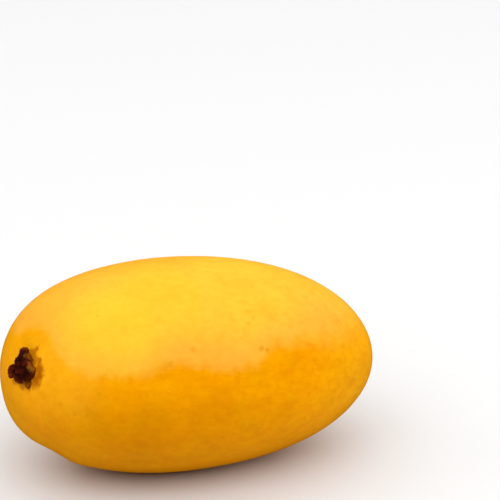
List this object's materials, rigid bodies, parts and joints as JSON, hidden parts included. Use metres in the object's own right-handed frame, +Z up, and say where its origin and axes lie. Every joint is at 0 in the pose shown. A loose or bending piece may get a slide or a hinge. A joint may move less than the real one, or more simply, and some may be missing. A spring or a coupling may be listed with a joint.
{
  "type": "mango",
  "caption": "Whole ripe golden-yellow mango lying on its cheek, with a dry dark stub of its stalk; a free-standing piece of fruit.",
  "frame": {"origin": "on the surface the mango rests on, under the middle of its bounding box", "axes": "+X along the fruit from the stalk end to the tip, +Z up out of the resting surface, +Y away from the side that the stalk leans to"},
  "size_m": [0.12, 0.0744, 0.0665],
  "materials": {
    "skin": "waxy satin fruit skin, golden yellow to amber, with faint freckles and fine streaks",
    "dry_stalk": "dry, crumbled, dark brown to black, rough"
  },
  "bodies": {
    "root": {"fruit": "skin", "stem_stub": "dry_stalk"}
  },
  "joints": []
}
